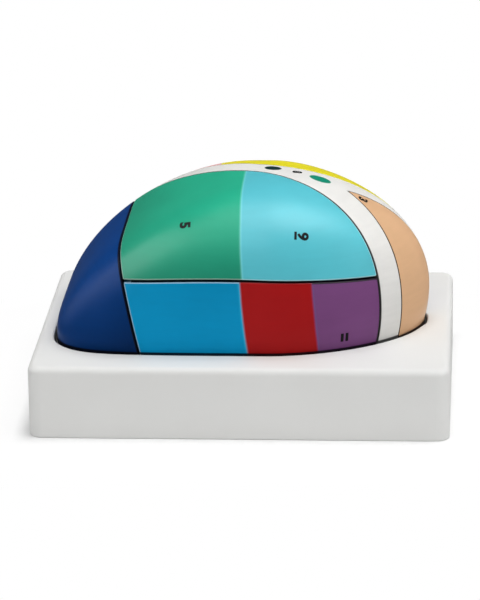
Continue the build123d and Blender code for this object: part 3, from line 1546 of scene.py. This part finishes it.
@dataclass(frozen=True)
class Ink:
    """Black ink of the printed key numerals."""

    colour: Colour = (0.004, 0.004, 0.005)
    roughness: float = 0.5
    shine: float = 0.1

    def material(self, effects: Effects) -> bpy.types.Material:
        """Builds the material.

        Args:
            effects: the shared shader groups.

        Returns:
            The material.
        """
        m = MaterialMaker("black_ink")
        skin = m.effect(
            effects.paint, Paint=opaque(self.colour), Foot_Level=0.0, Roughness=self.roughness
        )
        inputs = {"Base Color": skin["Colour"], "Roughness": skin["Roughness"]}
        return m.surface(inputs | {"Specular IOR Level": self.shine})


@dataclass(frozen=True)
class Beech:
    """Plain turned beech of the dowels."""

    light: Colour = (0.62, 0.45, 0.27)
    dark: Colour = (0.5, 0.33, 0.17)
    drawn_out: Place = (1.0, 1.0, 0.12)
    roughness: float = 0.6

    def material(self, effects: Effects) -> bpy.types.Material:
        """Builds the material.

        Args:
            effects: the shared shader groups.

        Returns:
            The material.
        """
        m = MaterialMaker("beech")
        drawn = m.node("ShaderNodeMapping", {"Vector": m.place, "Scale": self.drawn_out}).outputs[0]
        sizes = {"Wave_Size": 1.6, "Grain_Size": 0.4, "Wave": 0.05, "Grain": 0.02}
        grain = m.effect(effects.grain, Position=drawn, **sizes)
        colour = m.mixed(grain["Cloud"], opaque(self.dark), opaque(self.light))
        inputs = {"Base Color": colour, "Roughness": self.roughness}
        return m.surface(inputs | {"Normal": m.bump(grain["Height"])})


# Numerals


class Reading(Enum):
    """Which way the top of a numeral points."""

    UPWARD = "upward"
    FORWARD = "forward"


@dataclass(frozen=True)
class Numeral:
    """A printed key numeral.

    Proud and thickness say how high its lower side lies above the dome and how thick it is. The
    font's height, the line's size and its drop are shares of the numeral's size.
    """

    name: str
    text: str
    place: Place
    size: float = 4.6
    boldness: float = 0.075
    spacing: float = 1.0
    underline: bool = False
    reading: Reading = Reading.FORWARD
    proud: float = -0.02
    thickness: float = 0.07
    depth: float = 0.5
    fineness: float = 0.1
    font_height: float = 1.4
    breadth: float = 1.15
    line_size: Point = (0.7, 0.24)
    line_drop: float = 0.72
    weld: float = 0.001
    curve_steps: int = 6

    def flat(self) -> bpy.types.Object:
        """Makes deep, evenly divided letters in their own plane, with their middle at the origin.

        Returns:
            The letters, in millimetres.
        """
        curve = bpy.data.curves.new(self.name, "FONT")
        curve.body = self.text
        curve.size = self.size * self.font_height
        curve.align_x = "CENTER"
        curve.offset = self.boldness * self.size
        curve.space_character = self.spacing
        curve.resolution_u = self.curve_steps
        curve.extrude = self.depth / 2
        letters = settled(new_object(f"{self.name}_text", curve), f"{self.name}_letters")
        mesh = bmesh.new()
        mesh.from_mesh(letters.data)
        bmesh.ops.remove_doubles(mesh, verts=mesh.verts, dist=self.weld)
        spans = [[vert.co[axis] for vert in mesh.verts] for axis in (0, 1)]
        middle = Vector((*((min(span) + max(span)) / 2 for span in spans), 0))
        bmesh.ops.translate(mesh, vec=-middle, verts=mesh.verts)
        if self.underline:
            self.add_line(mesh)
        mesh.to_mesh(letters.data)
        mesh.free()
        modifier = letters.modifiers.new("even", "REMESH")
        modifier.mode = "VOXEL"
        modifier.voxel_size = self.fineness
        return settled(letters, self.name)

    def build(self, skin: Skin) -> bpy.types.Object:
        """Lays the numeral on the dome.

        Args:
            skin: the dome's outer surface.

        Returns:
            The numeral, in metres.
        """
        flat = self.flat()
        _, way, centre = skin.at(Vector(self.place))
        aim = Vector((1, 0, 0)) if self.reading is Reading.FORWARD else Vector((0, 0, 1))
        top = (aim - way * way.dot(aim)).normalized()
        right = top.cross(way)
        for vert in flat.data.vertices:
            _, there, spot = skin.at(centre + right * vert.co.x * self.breadth + top * vert.co.y)
            level = self.proud + self.thickness * (0.5 + vert.co.z / self.depth)
            vert.co = (spot + there * level) * MM
        return flat

    def add_line(self, mesh: bmesh.types.BMesh) -> None:
        """Adds a short line under the numeral.

        Args:
            mesh: the letters' mesh.
        """
        box = bmesh.ops.create_cube(mesh, size=1.0)["verts"]
        width, height = (self.size * share for share in self.line_size)
        bmesh.ops.scale(mesh, vec=(width, height, self.depth), verts=box)
        bmesh.ops.translate(mesh, vec=(0, -self.size * self.line_drop, 0), verts=box)


# The whole model


@dataclass
class BrainModel:
    """The painted blocks, the numerals on them and the tray that they stand in."""

    effects: Effects
    dome: Dome = field(default_factory=Dome)

    # Each coat's third number is a painted light and shade by height; its fourth a rim of painted
    # highlight or shade
    green = Coat(from_screen(34, 172, 136), 0.15, 0.6, 0.8)
    cyan = Coat(from_screen(82, 188, 202), 0.3, 1.0, 0.85)
    dark_blue = Coat(from_screen(0, 60, 128), 0.05, 1.0, -1.0)
    blue = Coat(from_screen(0, 138, 186), 0.06, 1.2, 0.85)
    red = Coat(from_screen(166, 6, 10), 0.15, 1.0, -0.2)
    purple = Coat(from_screen(118, 68, 122), 0.2, 1.0, -1.0)
    peach = Coat(from_screen(215, 172, 132), 0.2, 1.08)
    white = Coat((0.77, 0.76, 0.735))
    yellow = Coat(from_screen(228, 216, 30))
    pink = Coat(from_screen(226, 172, 172))

    def paints(self) -> dict[str, SatinPaint]:
        """Lists the blocks' paints.

        Returns:
            Each block's paint by the name of its node.
        """
        ovals = (
            Oval((12.5, 8.2), (8.2, 5.8), -21, from_screen(8, 46, 48)),
            Oval((34.6, -0.2), (10.3, 7.0), -21, from_screen(0, 136, 108)),
        )
        lower = (self.blue, self.red, self.purple)
        lower_borders = (
            Border(0.3, 66, 0.055, 0.0012, from_screen(70, 190, 225), 0.55),
            Border(32.8, 68, 0.07, 0.0003, from_screen(96, 90, 150), 0.45),
        )
        return {
            "core": SatinPaint("white_paint", (self.white,), ovals=ovals, joint_shade=0.9),
            # The rear block's shade is a painted shade towards its lower front
            "rear_block": SatinPaint("dark_blue_paint", (self.dark_blue,), shade=0.45),
            "front_block": SatinPaint("peach_paint", (self.peach,), rise=(40.0, 90.0), foot=33.7),
            "near_lower_block": SatinPaint("blue_red_purple_paint", lower, lower_borders),
            "near_upper_block": SatinPaint(
                "green_cyan_paint",
                (self.green, self.cyan),
                (Border(0.2, 100, 0.03, 0.0006, from_screen(130, 222, 222), 0.5),),
                rise=(68.0, 98.0),
            ),
            "far_lower_block": SatinPaint("far_blue_red_purple_paint", lower, lower_borders),
            "far_upper_block": SatinPaint(
                "pink_yellow_paint", (self.pink, self.yellow), (Border(-13.0, 90),)
            ),
        }

    def blocks(self) -> list[Block]:
        """Lists the blocks.

        Returns:
            The blocks in the order in which they are built.
        """
        cuts = Division(self.dome)
        lower, upper = cuts.profile(Level.LOWER), cuts.profile(Level.UPPER)
        whole = cuts.profile(Level.WHOLE)
        return [
            Block("core", cuts.core_plan(), whole, cuts.core_joints(), 0.5),
            Block("rear_block", None, cuts.rear_profile(), [cuts.rear_wall(False)]),
            Block("front_block", cuts.front_plan(), None, cuts.front_joints(), 0.5),
            Block("near_lower_block", cuts.near_plan(), lower, cuts.near_joints(Level.LOWER)),
            Block("near_upper_block", cuts.near_plan(), upper, cuts.near_joints(Level.UPPER)),
            Block("far_lower_block", cuts.far_plan(), lower, cuts.far_joints(Level.LOWER), 0.6),
            Block("far_upper_block", cuts.far_plan(), upper, cuts.far_joints(Level.UPPER), 0.6),
        ]

    def numerals(self) -> list[Numeral]:
        """Lists the key numerals on the fields.

        Returns:
            The numerals in the order in which they are built.
        """
        upward = Reading.UPWARD
        return [
            Numeral("numeral_green_field", "5", (-24.7, -40.2, 91.8)),
            Numeral("numeral_cyan_field", "9", (28.9, -42.8, 87.6), 4.8, 0.055, underline=True),
            Numeral(
                "numeral_purple_field", "11", (47.4, -44.0, 39.5), 3.6, 0.1, 0.8, reading=upward
            ),
            Numeral("numeral_peach_field", "3", (54.4, -6.0, 93.2), 4.2),
            Numeral("numeral_core", "8", (23.9, 4.3, 103.3), 4.0),
        ]

    def build(self) -> None:
        """Builds every piece around the frame."""
        finishes = {node: paint.material(self.effects) for node, paint in self.paints().items()}
        shell = self.dome.shell(finishes["core"])
        skin = Skin(shell.data)
        for block in self.blocks():
            made = block.build(shell, skin)
            self.coat(made, finishes[block.node])
            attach(made, BODY)
            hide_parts(block.node)
        bpy.data.objects.remove(shell)
        ink = Ink().material(self.effects)
        for numeral in self.numerals():
            made = numeral.build(skin)
            self.coat(made, ink)
            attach(made, BODY)
        self.dress("tray", WhitePlastic().material(self.effects))
        beech = Beech().material(self.effects)
        for node in ("near_dowels", "far_dowels"):
            self.dress(node, beech)

    @staticmethod
    def coat(item: bpy.types.Object, material: bpy.types.Material) -> None:
        """Gives a new piece its only finish.

        Args:
            item: the piece.
            material: the finish.
        """
        item.data.materials.clear()
        item.data.materials.append(material)
        log.info("%s: %d faces in %s", item.name, len(item.data.polygons), material.name)

    @staticmethod
    def dress(node: str, material: bpy.types.Material) -> None:
        """Gives a CAD node its finish.

        Args:
            node: the node's name.
            material: the finish.
        """
        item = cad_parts[node]
        if not item.material_slots:
            item.data.materials.append(material)
        for slot in item.material_slots:
            slot.material = material
        log.info("%s: dressed in %s", node, material.name)


# The studio


@dataclass(frozen=True)
class SoftLight:
    """A large soft lamp that looks at one point."""

    name: str
    place: Place
    target: Place
    size: Point
    power: float
    only_shine: bool = False

    def build(self) -> None:
        """Adds the lamp to the scene."""
        lamp = bpy.data.lights.new(self.name, "AREA")
        lamp.shape = "RECTANGLE"
        lamp.size, lamp.size_y = self.size
        lamp.energy = self.power
        made = new_object(self.name, lamp)
        made.location = self.place
        made.visible_diffuse = not self.only_shine
        look = Vector(self.target) - Vector(self.place)
        made.rotation_euler = look.to_track_quat("-Z", "Y").to_euler()


@dataclass(frozen=True)
class Studio:
    """The pale floor, the soft lamps and the camera.

    Places and distances are in metres, and turns in degrees. The focal length and the frame's
    height are in the photo's pixels. The floor's shadow fades with the distance from the tray's
    outline.
    """

    camera_place: Place = (0.1107, -1.578, 0.5815)
    pitch: float = 18.82
    yaw: float = 4.13
    roll: float = -0.96
    focal: float = 3593.0
    frame_height: float = 600.0
    sensor: float = 36.0
    clip: Point = (0.05, 50.0)
    world_light: float = 0.34
    world_shine: float = 0.05
    floor_size: float = 6.0
    floor_sides: int = 96
    floor_shine: float = 0.1
    floor_grey: float = 0.92
    tray_corner: Place = (0.095, 0.071, 0.0)
    shadow_edge: Point = (0.002, 0.008)
    shadow_fade: Point = (0.0, 0.06)
    shadow_lift: float = 0.85
    lamps: tuple[SoftLight, ...] = (
        SoftLight("top_light", (0.3, -0.1, 1.6), (0, 0, 0.05), (1.3, 1.3), 22.5),
        SoftLight("front_left_light", (-1.0, -1.2, 0.95), (0, 0, 0.05), (0.9, 0.9), 2.6),
        SoftLight("right_light", (1.5, -0.5, 0.6), (0, 0, 0.05), (0.8, 0.8), 2.6),
        SoftLight("strip_shine", (0.85, 0.05, 1.3), (0.85, 0.05, 0.0), (1.44, 0.7), 14.5, True),
        SoftLight("left_shine", (-0.99, -0.51, 0.92), (0, 0, 0.08), (1.9, 1.4), 54.0, True),
        SoftLight("rear_left_shine", (-1.5, 0.45, 0.3), (0, 0, 0.05), (1.0, 1.0), 5.0, True),
    )

    def build(self) -> None:
        """Adds the studio to the scene."""
        self.add_floor()
        self.add_world()
        for lamp in self.lamps:
            lamp.build()
        self.add_camera()
        bpy.context.scene.view_settings.view_transform = "Standard"

    def add_floor(self) -> None:
        """Adds the pale floor, which fades to plain white far from the model."""
        mesh = bmesh.new()
        sizes = {"segments": self.floor_sides, "radius": self.floor_size}
        bmesh.ops.create_circle(mesh, cap_ends=True, **sizes)
        data = bpy.data.meshes.new("floor")
        mesh.to_mesh(data)
        mesh.free()
        floor = new_object("floor", data)
        data.materials.append(self.floor_material())

    def floor_material(self) -> bpy.types.Material:
        """Builds the floor's material: pale paint by the model, and white to the camera elsewhere.

        Returns:
            The material.
        """
        m = MaterialMaker("pale_floor")
        folded = m.vectors("ABSOLUTE", m.place)[0]
        beside = m.vectors("SUBTRACT", folded, self.tray_corner)[0]
        outside = m.vectors("MAXIMUM", beside, (0, 0, 0))[0]
        far = m.vectors("LENGTH", outside)["Value"]
        near = m.ramp(far, self.shadow_edge, (0.0, self.shadow_lift))
        fade = m.ramp(far, self.shadow_fade, soft=True)
        paint = m.node("ShaderNodeBsdfDiffuse", {"Color": opaque((self.floor_grey,) * 3)})
        light = m.node("ShaderNodeEmission", {"Color": WHITE, "Strength": 1.0})
        kinds, seen = m.seen()
        share = m.maths("MULTIPLY", seen, m.maths("MAXIMUM", fade, near))
        both = m.node("ShaderNodeMixShader", {0: share, 1: paint.outputs[0], 2: light.outputs[0]})
        dim = m.node("ShaderNodeEmission", {"Color": WHITE, "Strength": self.floor_shine})
        shares = {0: kinds["Is Glossy Ray"], 1: both.outputs[0], 2: dim.outputs[0]}
        return m.closed(m.node("ShaderNodeMixShader", shares))

    def add_world(self) -> None:
        """Makes the world light the model softly and look white."""
        world = bpy.data.worlds.new("studio")
        world.use_nodes = True
        world.node_tree.nodes.clear()
        w = TreeMaker(world.node_tree)
        kinds, seen = w.seen()
        less = self.world_shine - self.world_light
        soft = w.maths("MULTIPLY_ADD", kinds["Is Glossy Ray"], less, self.world_light)
        strength = w.maths("MAXIMUM", seen, soft)
        back = w.node("ShaderNodeBackground", {"Color": WHITE, "Strength": strength})
        w.node("ShaderNodeOutputWorld", {"Surface": back.outputs[0]})
        bpy.context.scene.world = world

    def add_camera(self) -> None:
        """Adds the camera."""
        turns = [math.radians(turn) for turn in (self.pitch, self.yaw, self.roll)]
        (cp, sp), (cy, sy), (cr, sr) = ((math.cos(turn), math.sin(turn)) for turn in turns)
        turned = np.array([[cy, sy, 0], [-sy, cy, 0], [0, 0, 1]])
        tipped = np.array([[1, 0, 0], [0, -sp, -cp], [0, cp, -sp]])
        rolled = np.array([[cr, -sr, 0], [sr, cr, 0], [0, 0, 1]])
        right, down, ahead = rolled @ tipped @ turned
        axes = Matrix([right, -down, -ahead]).transposed()
        data = bpy.data.cameras.new("camera")
        data.sensor_width = self.sensor
        data.lens = self.focal * self.sensor / self.frame_height
        data.clip_start, data.clip_end = self.clip
        camera = new_object("camera", data)
        camera.matrix_world = Matrix.Translation(self.camera_place) @ axes.to_4x4()
        bpy.context.scene.camera = camera


def main() -> None:
    """Builds the model and its studio."""
    logging.basicConfig(level=logging.INFO, format="%(name)s: %(message)s")
    Studio().build()
    BrainModel(Effects()).build()


if __name__ == "__main__":
    main()
